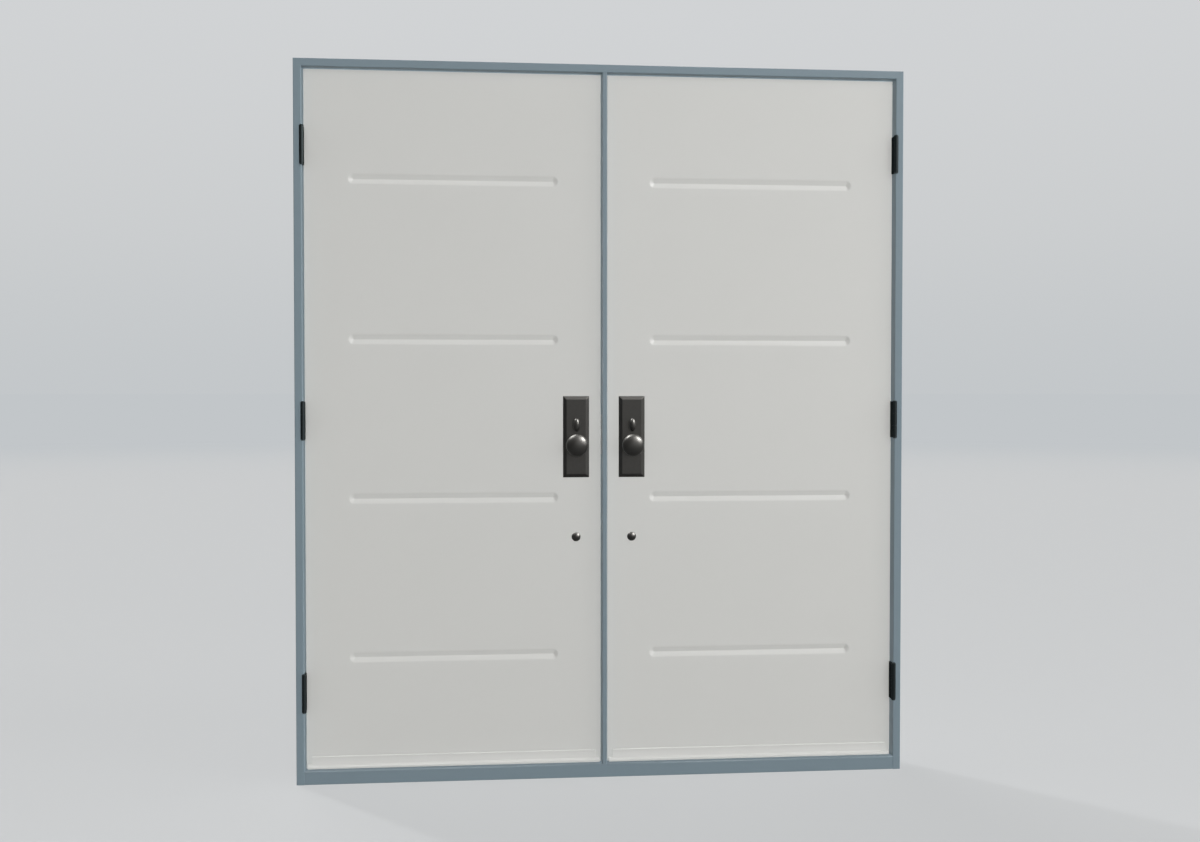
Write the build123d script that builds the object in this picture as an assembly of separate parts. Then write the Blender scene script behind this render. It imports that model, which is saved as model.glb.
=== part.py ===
from build123d import *
from math import acos, atan, cos, degrees, radians, sin
import os

# A pair of steel doors in a welded steel frame with a sill and a slim centre mullion.
# Seen from the room: +X to the right, +Y away from the room, +Z up, in millimetres.
# The origin is the middle of the sill's underside, half way through the frame's depth.
# Every piece is drawn for the right-hand leaf, and its mirror image serves the left.

# Leaves
leaf_width = 905.0
leaf_height = 2129.5
leaf_thickness = 45.0
skin_sheet = 1.2
skin_bend = 2.2              # outer radius of the skins' folded edges
skin_seam = 0.4              # open seam between the two skins, along the middle of an edge
lock_bevel = 2.8             # how much narrower the far face is, so that the lock edge swings clear
edge_gap = 3.0               # clearance at the hinge edge, lock edge and top of a leaf
sill_gap = 3.0               # clearance under a leaf
channel_sheet = 2.5          # the welded channels round a leaf's edge, inside the skins
channel_depth = 32.0

# Pressed grooves
groove_count = 4
groove_length = 640.0
groove_width = 32.0
groove_depth = 7.0
groove_land = 6.0            # flat sheet taken in with each groove, all round it
groove_spacing = 487.3
lowest_groove = 338.5        # above the foot of the leaf

# Frame
face_width = 24.0            # jamb and head, seen from the front
stop_height = 16.0
frame_depth = 120.0
frame_sheet = 1.5
frame_bend = 2.2             # outer radius of the folds
throat_lip = 12.0            # returns at the open back of the section
reveal = 27.0                # from the frame's front to the leaves' faces
seal_gap = 2.0               # from a closed leaf to the stop behind it
sill_height = 40.5
sill_stop = 12.0
mullion_width = 13.5
mullion_flange = 48.0        # width of the mullion's stop, behind the leaves

# Seals
seal_width = 9.0
seal_margin = 2.0            # from the edge of the stop to the seal
soft_clearance = 0.3

# Frame anchors
anchor_count = 4
anchor_spacing = 540.0
lowest_anchor = 290.0
anchor_hole_radius = 5.25
anchor_plate = (3.0, 40.0, 60.0)

# Hinges
hinge_height = 114.0
hinge_heights = (281.0, 1109.0, 1940.0)
knuckle_radius = 7.0
knuckle_count = 3
knuckle_gap = 0.3
pin_radius = 4.0
pin_clearance = 0.05
pin_tip_radius = 5.4
pin_tip_height = 2.4
hinge_proud = 7.5            # the pin's axis, in front of the frame
hinge_plate = 2.6
hinge_grip = 35.0            # how far a plate reaches along the leaf's edge
hinge_fit = 0.2              # clearance round a plate in its recess

# Lock, its trim and their heights
backset = 77.0
knob_height = 1032.0
turn_above = 62.0            # from the knob's axis up to the thumb turn's
bolt_thickness = 12.7
latch_height = 19.0
deadbolt_height = 25.0
bolt_length = 52.0
bolt_throw = 9.5
bolt_clearance = 0.5
latch_slope = (8.5, 9.5)     # along the bolt and across it
tip_inset = 0.05
case_depth = 100.0
case_thickness = 22.0
case_below = 47.0            # from the knob's axis to the foot of the lock case
case_above = 46.0            # from the thumb turn's axis to the top of the lock case
front_sheet = 3.0
front_width = 25.0
front_beyond = 70.5          # past the two bolts' axes, above and below
front_fit = 0.2
cross_bore = 12.5

# Strikes
strike_sheet = 2.0
strike_width = 32.0
strike_beyond = 31.0         # past the two bolts' axes, above and below
strike_fit = 0.2
strike_clearance = 1.0

# Plates on both sides of a leaf
plate_width = 81.0
plate_above = 89.0           # from the thumb turn's axis to the top of a plate
plate_below = 101.0          # from the knob's axis to the foot of a plate
plate_edge = 2.5
plate_rise = 6.0
plate_bevel = 10.5

# Knob
knob_radius = 34.0
knob_bulge = 17.5            # half the knob's thickness along its axis
knob_reach = 62.0            # from the leaf's face to the tip of the knob
knob_neck = 11.5
rose_radius = 19.0
rose_height = 5.0
shank_radius = 10.0
shank_clearance = 0.05
shank_depth = 17.0           # from the leaf's face to the end of the round shank
spindle_side = 8.0

# Thumb turn
turn_width = 21.5
turn_length = 41.0
turn_neck = 5.0
turn_shaft = 5.0
turn_collar = 9.0
turn_collar_height = 2.5
turn_lift = 6.0              # from the plate to the near side of the egg

# Outside grip, thumb piece, key cylinder and the bolt at the grip's foot
grip_radius = 9.5
grip_reach = 62.0            # from the leaf's far face to the grip's centre line
grip_bend = 30.0
grip_below = 40.0            # from the thumb piece down to the grip's upper end
grip_length = 218.0          # between the axes of the grip's two ends
grip_rose_radius = 17.0
grip_rose_height = 5.0
cap_radius = 13.9
cap_height = 8.5
cap_rim = 2.0
grip_bolt_radius = 4.0
grip_bolt_depth = 22.0
bolt_hole_clearance = 0.3
cylinder_radius = 14.5
cylinder_collar = 17.5
cylinder_proud = 6.0
cylinder_clearance = 0.2
keyway = (2.0, 9.0, 3.0)
thumb_below = 28.0           # from the knob's axis down to the thumb piece
thumb_width = 22.0
thumb_length = 46.0
thumb_sheet = 4.0
thumb_corner = 9.9
thumb_pivot_radius = 2.6
thumb_pivot_inset = 3.6      # from the leaf's far face to the pivot
thumb_travel = 15.0          # degrees, and the rest position is pressed down
thumb_pocket = (24.0, 6.2, 26.0)
thumb_slot = 11.0

# Drip rail and sweep at the foot of a leaf
rail_height = 37.0
rail_sheet = 3.0
rail_chamfer = 2.0
rail_inset = 17.0            # from the leaf's edges to the ends of the upright part
nose_inset = 5.0
nose_reach = 12.0
nose_height = 6.0
nose_slope = 6.0
sweep_width = 14.0
sweep_sheet = 1.2
sweep_fin = 1.6
sweep_inset = 4.0

# Places that follow from the sizes
front_y = -frame_depth / 2
back_y = frame_depth / 2
leaf_y = front_y + reveal
leaf_back_y = leaf_y + leaf_thickness
leaf_mid_y = leaf_y + leaf_thickness / 2
stop_y = leaf_back_y + seal_gap
lock_x = mullion_width / 2 + edge_gap
hinge_edge_x = lock_x + leaf_width
opening_half = hinge_edge_x + edge_gap
frame_half = opening_half + face_width
leaf_z = sill_height + sill_gap
leaf_top_z = leaf_z + leaf_height
head_z = leaf_top_z + edge_gap
frame_top_z = head_z + face_width
pin_x = hinge_edge_x + edge_gap / 2
pin_y = front_y - hinge_proud
trim_x = lock_x + backset
turn_height = knob_height + turn_above
thumb_height = knob_height - thumb_below
grip_top_height = thumb_height - grip_below
grip_foot_height = grip_top_height - grip_length
plate_length = plate_below + turn_above + plate_above
plate_middle = (knob_height - plate_below + turn_height + plate_above) / 2
plate_height = plate_edge + plate_rise
strike_z = (knob_height + turn_height) / 2
strike_length = turn_above + 2 * strike_beyond
front_length = turn_above + 2 * front_beyond
cut = 1.0                    # how far a cutting solid runs past what it cuts


def block(x, y, z):
    """A box between the two values given for each axis."""
    size = [abs(b - a) for a, b in (x, y, z)]
    middle = [(a + b) / 2 for a, b in (x, y, z)]
    return Pos(*middle) * Box(*size)


def rod_y(x, z, radius, y_from, y_to):
    """A round bar along Y."""
    return Pos(x, (y_from + y_to) / 2, z) * Rot(90, 0, 0) * Cylinder(radius, abs(y_to - y_from))


def rod_z(x, y, radius, z_from, z_to):
    """An upright round bar."""
    return Pos(x, y, (z_from + z_to) / 2) * Cylinder(radius, abs(z_to - z_from))


def turned(x, y, z, *edges):
    """A solid turned about an axis along Y, reaching towards -Y.

    The edges run from the axis and back to it, with the radius in X and the reach in Y.
    """
    reaches = [(edge @ end).Y for edge in edges for end in (0, 1)]
    profile = make_face([*edges, Line((0, min(reaches)), (0, max(reaches)))])
    return Pos(x, y, z) * Rot(180, 0, 0) * revolve(profile, axis=Axis.Y)


def oval(middle, x_radius, y_radius, start, steps=8):
    """Part of an oval, from an angle in degrees round to its tip towards +Y."""
    angles = [radians(start + (90 - start) * i / steps) for i in range(steps + 1)]
    points = [(middle[0] + x_radius * cos(a), middle[1] + y_radius * sin(a)) for a in angles]
    tangents = [(-x_radius * sin(a), y_radius * cos(a)) for a in (angles[0], angles[-1])]
    return Spline(*points, tangents=tangents)


def lock_edge_x(y):
    """Where the bevelled lock edge stands at a depth."""
    return lock_x + lock_bevel * (y - leaf_y) / leaf_thickness


def bolt_tip_x():
    """The tip of a withdrawn bolt, just inside the bevelled lock front."""
    return lock_edge_x(leaf_mid_y + bolt_thickness / 2) + tip_inset


# The frame


def frame_section():
    """The folded section shared by jambs and head: X outward from the rabbet, Y through the wall."""
    corners = [
        (face_width, front_y + throat_lip),
        (face_width, front_y),
        (0, front_y),
        (0, stop_y),
        (-stop_height, stop_y),
        (-stop_height, back_y),
        (face_width, back_y),
        (face_width, back_y - throat_lip),
    ]
    return make_face(offset(FilletPolyline(*corners, radius=frame_bend), amount=frame_sheet, side=Side.RIGHT))


def tube_section(corners):
    """A closed folded section with the frame's sheet thickness."""
    outside = make_face(FilletPolyline(*corners, radius=frame_bend, close=True))
    return outside - offset(outside, amount=-frame_sheet)


def mitre_plane(side):
    """The 45 degree joint between a jamb and the head, facing the jamb."""
    return Plane(origin=(side * opening_half, 0, head_z), z_dir=(side, 0, -1))


def anchor_heights():
    return [lowest_anchor + i * anchor_spacing for i in range(anchor_count)]


def anchor_y():
    return (stop_y + back_y) / 2


def make_jamb():
    jamb = Pos(opening_half, 0, 0) * extrude(frame_section(), amount=frame_top_z)
    jamb = split(jamb, bisect_by=mitre_plane(1), keep=Keep.TOP)
    for z in hinge_heights:
        jamb -= frame_hinge_recess(z)
    for z in anchor_heights():
        jamb -= anchor_hole(z)
    return jamb


def make_head():
    length = 2 * frame_half
    head = Pos(frame_half, 0, head_z) * Rot(0, -90, 0) * extrude(frame_section(), amount=length)
    for side in (1, -1):
        head = split(head, bisect_by=mitre_plane(side), keep=Keep.BOTTOM)
    return head


def make_sill(jamb):
    """A closed sill between the jambs, coped round their stops."""
    corners = [
        (0, front_y),
        (sill_height, front_y),
        (sill_height, stop_y),
        (sill_height + sill_stop, stop_y),
        (sill_height + sill_stop, back_y),
        (0, back_y),
    ]
    sill = Pos(opening_half, 0, 0) * Rot(0, -90, 0) * extrude(tube_section(corners), amount=2 * opening_half)
    for side in (1, -1):
        stop_x = side * (opening_half - stop_height)
        sill -= block((stop_x, side * (opening_half + cut)), (stop_y, back_y + cut), (-cut, leaf_top_z))
    return sill - jamb - other_side(jamb)


def make_mullion(head, sill):
    """A T-shaped tube from sill to head: a slim web between the leaves and a wider stop behind them."""
    web = mullion_width / 2
    flange = mullion_flange / 2
    corners = [
        (-web, front_y),
        (web, front_y),
        (web, stop_y),
        (flange, stop_y),
        (flange, back_y),
        (-flange, back_y),
        (-flange, stop_y),
        (-web, stop_y),
    ]
    mullion = Pos(0, 0, sill_height) * extrude(tube_section(corners), amount=head_z - sill_height)
    behind = ((-flange - cut, flange + cut), (stop_y, back_y + cut))
    mullion -= block(*behind, (head_z - stop_height, head_z + cut))
    mullion -= block(*behind, (sill_height - cut, sill_height + sill_stop))
    for side in (1, -1):
        mullion -= strike_block(side, strike_fit)
    return mullion - head - sill


def strike_block(side, fit):
    """The strike's outline, sunk flush in the mullion's side. A positive fit gives its cut-out."""
    outer_x = side * (mullion_width / 2 + (cut if fit else 0))
    inner_x = side * (mullion_width / 2 - strike_sheet)
    half_width = strike_width / 2 + fit
    half_length = strike_length / 2 + fit
    return block(
        (inner_x, outer_x),
        (leaf_mid_y - half_width, leaf_mid_y + half_width),
        (strike_z - half_length, strike_z + half_length),
    )


def make_strike():
    strike = strike_block(1, 0)
    for z, height in ((knob_height, latch_height), (turn_height, deadbolt_height)):
        strike -= bolt_block(z, height, strike_clearance, (0, mullion_width))
    return strike


def anchor_hole(z):
    """A hole along X through the stop's face and the plate behind it."""
    hole = Cylinder(anchor_hole_radius, 2 * stop_height)
    return Pos(opening_half - stop_height, anchor_y(), z) * Rot(0, 90, 0) * hole


def make_anchor_plates():
    """Plates welded inside a jamb's stop, where the wall bolts go through."""
    thickness, width, height = anchor_plate
    face_x = opening_half - stop_height + frame_sheet
    plates = []
    for z in anchor_heights():
        plate = Pos(face_x + thickness / 2, anchor_y(), z) * Box(thickness, width, height)
        plates.append(plate - anchor_hole(z))
    return plates


def make_seal():
    """A four-sided gasket on the stops behind a leaf, just clear of the leaf."""
    inner_x = mullion_flange / 2 - seal_margin
    outer_x = opening_half - stop_height + seal_margin
    low_z = sill_height + sill_stop - seal_margin
    high_z = head_z - stop_height + seal_margin
    foot_z = sill_height + frame_bend + soft_clearance
    depth = (leaf_back_y + soft_clearance, stop_y)
    outline = block(
        (inner_x - seal_width, outer_x + seal_width),
        depth,
        (foot_z, high_z + seal_width),
    )
    outline = chamfer(outline.edges().group_by(Axis.Y)[0], length=(stop_y - depth[0]) / 2)
    return outline - block((inner_x, outer_x), (depth[0] - cut, depth[1] + cut), (low_z, high_z))


# Hinges


def knuckle_spans(z, first):
    """The heights of every second knuckle, starting with the given one."""
    pitch = hinge_height / knuckle_count
    foot = z - hinge_height / 2
    return [
        (foot + i * pitch + knuckle_gap / 2, foot + (i + 1) * pitch - knuckle_gap / 2)
        for i in range(first, knuckle_count, 2)
    ]


def hinge_half(z, first, plate_x):
    """A flat plate with its knuckles. It runs from the pin back past the leaf's face."""
    barrel_y = pin_y + knuckle_radius + knuckle_gap
    half = hinge_height / 2
    plate = block(plate_x, (barrel_y, leaf_y + hinge_grip), (z - half, z + half))
    for span in knuckle_spans(z, first):
        plate += block(plate_x, (pin_y + pin_radius + knuckle_gap, barrel_y + cut), span)
        plate += rod_z(pin_x, pin_y, knuckle_radius, *span)
    return plate - rod_z(pin_x, pin_y, pin_radius, z - hinge_height, z + hinge_height)


def make_frame_hinge(z):
    return hinge_half(z, 0, (opening_half, opening_half + hinge_plate))


def make_leaf_hinge(z):
    return hinge_half(z, 1, (hinge_edge_x - hinge_plate, hinge_edge_x))


def hinge_recess(z, plate_x):
    half = hinge_height / 2 + hinge_fit
    return block(plate_x, (front_y - hinge_proud, leaf_y + hinge_grip + hinge_fit), (z - half, z + half))


def frame_hinge_recess(z):
    return hinge_recess(z, (opening_half - cut, opening_half + hinge_plate))


def leaf_hinge_recess(z):
    return hinge_recess(z, (hinge_edge_x - hinge_plate, hinge_edge_x + cut))


def make_hinge_pin(z):
    """A pin with a low tip at each end of the barrel."""
    half = hinge_height / 2
    pin = rod_z(pin_x, pin_y, pin_radius - pin_clearance, z - half, z + half)
    for end in (1, -1):
        foot = z + end * half
        pin += rod_z(pin_x, pin_y, pin_tip_radius, foot, foot + end * pin_tip_height)
    return pin


# Leaf shell


def groove_line():
    """A groove's cross-section on the outer side of the sheet: X across it, Y into the leaf."""
    half = groove_width / 2
    land = half + groove_land
    return Polyline((-land, 0), (-half, 0), (0, groove_depth), (half, 0), (land, 0))


def groove_sheet():
    """The pressed sheet's section."""
    return make_face(offset(groove_line(), amount=skin_sheet, side=Side.LEFT, kind=Kind.INTERSECTION))


def groove_room():
    """The section of everything that a groove takes out of the core."""
    half = groove_width / 2 + groove_land
    mouth = Polyline((-half, 0), (-half, -cut), (half, -cut), (half, 0))
    return groove_sheet() + make_face(groove_line() + mouth)


def groove_body(section):
    """The section drawn out along X, with a half turn of it at each end."""
    straight = groove_length - groove_width
    across = Plane(origin=(0, 0, 0), x_dir=(0, 0, 1), z_dir=(-1, 0, 0))
    half = section & Pos(groove_width, 0, 0) * Rectangle(2 * groove_width, 4 * groove_width)
    end = revolve(half, axis=Axis.Y, revolution_arc=180)
    body = extrude(across * section, amount=straight / 2, both=True)
    body += Pos(straight / 2, 0, 0) * Rot(0, -90, 0) * end
    return body + Pos(-straight / 2, 0, 0) * Rot(0, 90, 0) * end


def groove_hole():
    """The opening in the flat face that a pressed groove fills."""
    land = 2 * groove_land
    slot = SlotOverall(groove_length + land, groove_width + land)
    return Rot(90, 0, 0) * extrude(slot, amount=skin_bend, both=True)


def groove_places():
    x = lock_x + leaf_width / 2
    return [Pos(x, 0, leaf_z + lowest_groove + i * groove_spacing) for i in range(groove_count)]


def far_side(solid):
    """A shape drawn for the leaf's near face, turned over for its far face."""
    return mirror(solid, about=Plane(origin=(0, leaf_mid_y, 0), z_dir=(0, 1, 0)))


def make_skin(face_y, seam_y):
    """A pan: the pressed face with half of both edges folded back to the seam."""
    corners = [
        (lock_edge_x(seam_y), seam_y),
        (lock_edge_x(face_y), face_y),
        (hinge_edge_x, face_y),
        (hinge_edge_x, seam_y),
    ]
    side = Side.LEFT if face_y < seam_y else Side.RIGHT
    section = make_face(offset(FilletPolyline(*corners, radius=skin_bend), amount=skin_sheet, side=side))
    skin = Pos(0, 0, leaf_z) * extrude(section, amount=leaf_height)
    hole, groove = groove_hole(), groove_body(groove_sheet())
    for place in groove_places():
        lifted = Pos(0, leaf_y, 0) * place
        pair = (lifted * hole, lifted * groove)
        opening, pressed = pair if face_y < seam_y else [far_side(solid) for solid in pair]
        skin = skin - opening + pressed
    for z in hinge_heights:
        skin -= leaf_hinge_recess(z)
    return skin - front_prism(front_fit) - face_bores()


def inner_plan(inset):
    """The plan of the leaf's inside, a distance in from the skins."""
    corners = [
        (lock_edge_x(leaf_y), leaf_y),
        (hinge_edge_x, leaf_y),
        (hinge_edge_x, leaf_back_y),
        (lock_edge_x(leaf_back_y), leaf_back_y),
    ]
    outline = make_face(FilletPolyline(*corners, radius=skin_bend, close=True))
    return offset(outline, amount=-skin_sheet - inset)


def window():
    """The room inside the channels, through the whole thickness between the skins."""
    side = skin_sheet + channel_depth
    return block(
        (lock_x + side, hinge_edge_x - side),
        (leaf_y + skin_sheet, leaf_back_y - skin_sheet),
        (leaf_z + channel_depth, leaf_top_z - channel_depth),
    )


def channel_room():
    """The room inside the welded channels, which the core fills."""
    inside = extrude(inner_plan(channel_sheet), amount=leaf_height - 2 * channel_sheet)
    return Pos(0, 0, leaf_z + channel_sheet) * inside + window()


def make_channels():
    channels = Pos(0, 0, leaf_z) * extrude(inner_plan(0), amount=leaf_height) - channel_room()
    for z in hinge_heights:
        channels -= leaf_hinge_recess(z)
    return channels - front_prism(front_fit) - case_block(bolt_clearance)


def make_core():
    core = channel_room() - case_block(bolt_clearance) - face_bores()
    room = groove_body(groove_room())
    for place in groove_places():
        near = Pos(0, leaf_y, 0) * place * room
        core = core - near - far_side(near)
    return core


def face_bores():
    """Holes through the leaf: for the knob's shank, the key cylinder and the grip's bolt."""
    ends = (leaf_y - cut, leaf_back_y + cut)
    bores = rod_y(trim_x, knob_height, cross_bore, *ends)
    bores += rod_y(trim_x, turn_height, cylinder_radius + cylinder_clearance, *ends)
    return bores + rod_y(trim_x, grip_foot_height, grip_bolt_radius + bolt_hole_clearance, *ends)


# Foot of the leaf


def make_drip_rail():
    """A low rail on the near face, with a sloping nose that throws water clear of the sill."""
    low_z = leaf_z
    nose_z = low_z + nose_height
    top_z = low_z + rail_height
    face = leaf_y - rail_sheet
    nose_y = leaf_y - nose_reach
    side = Plane(origin=(0, 0, 0), x_dir=(0, 1, 0), z_dir=(1, 0, 0))
    upright = make_face(Polyline(
        (leaf_y, low_z), (face, low_z), (face, top_z - rail_chamfer),
        (face + rail_chamfer, top_z), (leaf_y, top_z), close=True,
    ))
    nose = make_face(Polyline(
        (leaf_y, low_z), (nose_y, low_z), (nose_y, nose_z), (face, nose_z + nose_slope), (leaf_y, nose_z + nose_slope),
        close=True,
    ))
    rail = Pos(lock_x + rail_inset, 0, 0) * extrude(side * upright, amount=leaf_width - 2 * rail_inset)
    return rail + Pos(lock_x + nose_inset, 0, 0) * extrude(side * nose, amount=leaf_width - 2 * nose_inset)


def make_sweep():
    """A rubber strip under the leaf, with fins just clear of the sill."""
    x = (lock_edge_x(leaf_back_y) + sweep_inset, hinge_edge_x - sweep_inset)
    near_y = leaf_mid_y - sweep_width / 2
    sweep = block(x, (near_y, near_y + sweep_width), (leaf_z - sweep_sheet, leaf_z))
    for y in (near_y, leaf_mid_y - sweep_fin / 2, near_y + sweep_width - sweep_fin):
        sweep += block(x, (y, y + sweep_fin), (sill_height + soft_clearance, leaf_z - sweep_sheet))
    return sweep


# Lock


def front_prism(fit):
    """The lock front, which follows the bevelled edge. A positive fit gives its recess."""
    near_y = leaf_mid_y - front_width / 2 - fit
    far_y = leaf_mid_y + front_width / 2 + fit
    over = cut if fit else 0
    plan = make_face(Polyline(
        (lock_edge_x(near_y) - over, near_y),
        (lock_edge_x(near_y) + front_sheet, near_y),
        (lock_edge_x(far_y) + front_sheet, far_y),
        (lock_edge_x(far_y) - over, far_y),
        close=True,
    ))
    length = front_length + 2 * fit
    return Pos(0, 0, strike_z - length / 2) * extrude(plan, amount=length)


def case_x():
    return lock_edge_x(leaf_mid_y + front_width / 2) + front_sheet


def case_block(fit):
    half = case_thickness / 2 + fit
    return block(
        (case_x() - (front_sheet if fit else 0), case_x() + case_depth + fit),
        (leaf_mid_y - half, leaf_mid_y + half),
        (knob_height - case_below - fit, turn_height + case_above + fit),
    )


def bolt_block(z, height, fit, x):
    """A bolt's square section, a clearance larger all round."""
    half = bolt_thickness / 2 + fit
    return block(x, (leaf_mid_y - half, leaf_mid_y + half), (z - height / 2 - fit, z + height / 2 + fit))


def bolt_channel(z, height):
    return bolt_block(z, height, bolt_clearance, (0, bolt_tip_x() + bolt_length + bolt_clearance))


def lock_bores():
    ends = (leaf_y, leaf_back_y)
    return rod_y(trim_x, knob_height, cross_bore, *ends) + rod_y(
        trim_x, turn_height, turn_shaft + bolt_clearance, *ends)


def make_lock_case():
    case = case_block(0) - lock_bores()
    return case - bolt_channel(knob_height, latch_height) - bolt_channel(turn_height, deadbolt_height)


def make_lock_front():
    front = front_prism(0)
    return front - bolt_channel(knob_height, latch_height) - bolt_channel(turn_height, deadbolt_height)


def make_latch():
    """The spring latch, drawn back flush. Its far side slopes, to ride over the strike."""
    tip = bolt_tip_x()
    latch = bolt_block(knob_height, latch_height, 0, (tip, tip + bolt_length))
    far_y = leaf_mid_y + bolt_thickness / 2
    slope = make_face(Polyline(
        (tip, far_y), (tip, far_y - latch_slope[1]), (tip + latch_slope[0], far_y), close=True,
    ))
    return latch - Pos(0, 0, knob_height - latch_height) * extrude(slope, amount=2 * latch_height)


def make_deadbolt():
    tip = bolt_tip_x()
    return bolt_block(turn_height, deadbolt_height, 0, (tip, tip + bolt_length))


# Trim on the room side


def bevelled_plate():
    """A plate with wide bevelled borders, its back at Y = 0 and its face towards -Y."""
    upright = Plane(origin=(0, 0, 0), x_dir=(1, 0, 0), z_dir=(0, -1, 0))
    outline = upright * Rectangle(plate_width, plate_length)
    lip = extrude(outline, amount=plate_edge)
    taper = degrees(atan(plate_bevel / plate_rise))
    return lip + extrude(Pos(0, -plate_edge, 0) * outline, amount=plate_rise, taper=taper)


def make_inner_plate():
    plate = Pos(trim_x, leaf_y, plate_middle) * bevelled_plate()
    ends = (leaf_y - plate_height - cut, leaf_y + cut)
    plate -= rod_y(trim_x, knob_height, shank_radius, *ends)
    return plate - rod_y(trim_x, turn_height, turn_shaft, *ends)


def make_knob():
    """A round knob with its rose, shank and square spindle."""
    face = plate_height + soft_clearance
    brow = face + rose_height
    head = oval((0, knob_reach - knob_bulge), knob_radius, knob_bulge, -degrees(acos(knob_neck / knob_radius)))
    shank = shank_radius - shank_clearance
    knob = turned(
        trim_x, leaf_y, knob_height,
        Polyline((0, -shank_depth), (shank, -shank_depth), (shank, face), (rose_radius, face)),
        oval((knob_neck, face), rose_radius - knob_neck, rose_height, 0),
        Line((knob_neck, brow), head @ 0),
        head,
    )
    half = spindle_side / 2
    return knob + block(
        (trim_x - half, trim_x + half),
        (leaf_y + shank_depth - cut, leaf_back_y),
        (knob_height - half, knob_height + half),
    )


def make_thumb_turn():
    """An egg-shaped turn on a collar and a shaft."""
    face = plate_height + soft_clearance
    brow = face + turn_collar_height
    middle = face + turn_lift + turn_width / 2
    shaft = turn_shaft - shank_clearance
    shaft_depth = leaf_thickness / 2
    stem = turned(trim_x, leaf_y, turn_height, Polyline(
        (0, -shaft_depth), (shaft, -shaft_depth), (shaft, face), (turn_collar, face),
        (turn_collar, brow), (turn_neck, brow), (turn_neck, middle), (0, middle),
    ))
    egg = scale(Sphere(turn_width / 2), by=(1, 1, turn_length / turn_width))
    return stem + Pos(trim_x, leaf_y - middle, turn_height) * egg


# Trim on the far side


def outward_y(reach):
    return leaf_back_y + reach


def make_outer_plate():
    plate = Pos(trim_x, leaf_back_y, plate_middle) * mirror(bevelled_plate(), about=Plane.XZ)
    ends = (leaf_back_y - cut, outward_y(plate_height) + cut)
    plate -= rod_y(trim_x, turn_height, cylinder_radius + cylinder_clearance, *ends)
    pocket_width, pocket_depth, pocket_height = thumb_pocket
    half = pocket_width / 2
    x = (trim_x - half, trim_x + half)
    z = thumb_height + pocket_height / 4
    plate -= block(x, (ends[0], outward_y(pocket_depth)), (z - pocket_height / 2, z + pocket_height / 2))
    low = thumb_height - thumb_slot / 2
    return plate - block(x, ends, (low, low + thumb_slot))


def make_thumb_piece():
    """A thumb lever, pressed down at rest, on a pivot behind the plate."""
    half = thumb_width / 2
    pivot_y = outward_y(thumb_pivot_inset)
    pad = block((-half, half), (0, thumb_length), (-thumb_sheet / 2, thumb_sheet / 2))
    pad = fillet(pad.edges().filter_by(Axis.Z).sort_by(Axis.Y)[-2:], radius=thumb_corner)
    pivot = Rot(0, 90, 0) * Cylinder(thumb_pivot_radius, thumb_width)
    lever = Pos(trim_x, pivot_y, thumb_height) * Rot(-thumb_travel, 0, 0) * (pad + pivot)
    tail = block(
        (trim_x - half / 2, trim_x + half / 2),
        (pivot_y, pivot_y + thumb_pivot_radius),
        (thumb_height, thumb_height + thumb_pocket[2] / 2),
    )
    return lever + tail


def make_grip():
    """A bowed pull, fixed to the plate above and to the leaf below."""
    top_y, foot_y = outward_y(plate_height), leaf_back_y
    reach_y = outward_y(grip_reach)
    path = FilletPolyline(
        (trim_x, top_y, grip_top_height),
        (trim_x, reach_y, grip_top_height),
        (trim_x, reach_y, grip_foot_height),
        (trim_x, foot_y, grip_foot_height),
        radius=grip_bend,
    )
    start = Plane(origin=(trim_x, top_y, grip_top_height), z_dir=(0, 1, 0))
    grip = sweep(start * Circle(grip_radius), path=path)
    grip += rod_y(trim_x, grip_foot_height, grip_rose_radius, foot_y, foot_y + grip_rose_height)
    bore = grip_bolt_radius + shank_clearance
    return grip - rod_y(trim_x, grip_foot_height, bore, foot_y - cut, foot_y + grip_bolt_depth)


def make_grip_bolt():
    """The bolt through the leaf into the grip's foot, with its domed cap on the room side."""
    depth = leaf_thickness + grip_bolt_depth - cut
    return turned(
        trim_x, leaf_y, grip_foot_height,
        Polyline(
            (0, -depth), (grip_bolt_radius, -depth), (grip_bolt_radius, 0), (cap_radius, 0), (cap_radius, cap_rim),
        ),
        TangentArc((0, cap_height), (cap_radius, cap_rim), tangent=(1, 0)),
    )


def make_key_cylinder():
    face = outward_y(plate_height)
    slot_width, slot_height, slot_depth = keyway
    cylinder = rod_y(trim_x, turn_height, cylinder_radius, leaf_mid_y + case_thickness / 2 + bolt_clearance, face + cut)
    cylinder += rod_y(trim_x, turn_height, cylinder_collar, face, face + cylinder_proud)
    return cylinder - block(
        (trim_x - slot_width / 2, trim_x + slot_width / 2),
        (face + cylinder_proud - slot_depth, face + cylinder_proud + cut),
        (turn_height - slot_height / 2, turn_height + slot_height / 2),
    )


def save(name, piece):
    solids = piece if isinstance(piece, list) else [piece]
    export_step(Compound(children=solids) if len(solids) > 1 else solids[0], f"parts/{name}.step")


def other_side(piece):
    """The mirror image, for the left-hand leaf."""
    if isinstance(piece, list):
        return [other_side(solid) for solid in piece]
    return mirror(piece, about=Plane.YZ)


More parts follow.
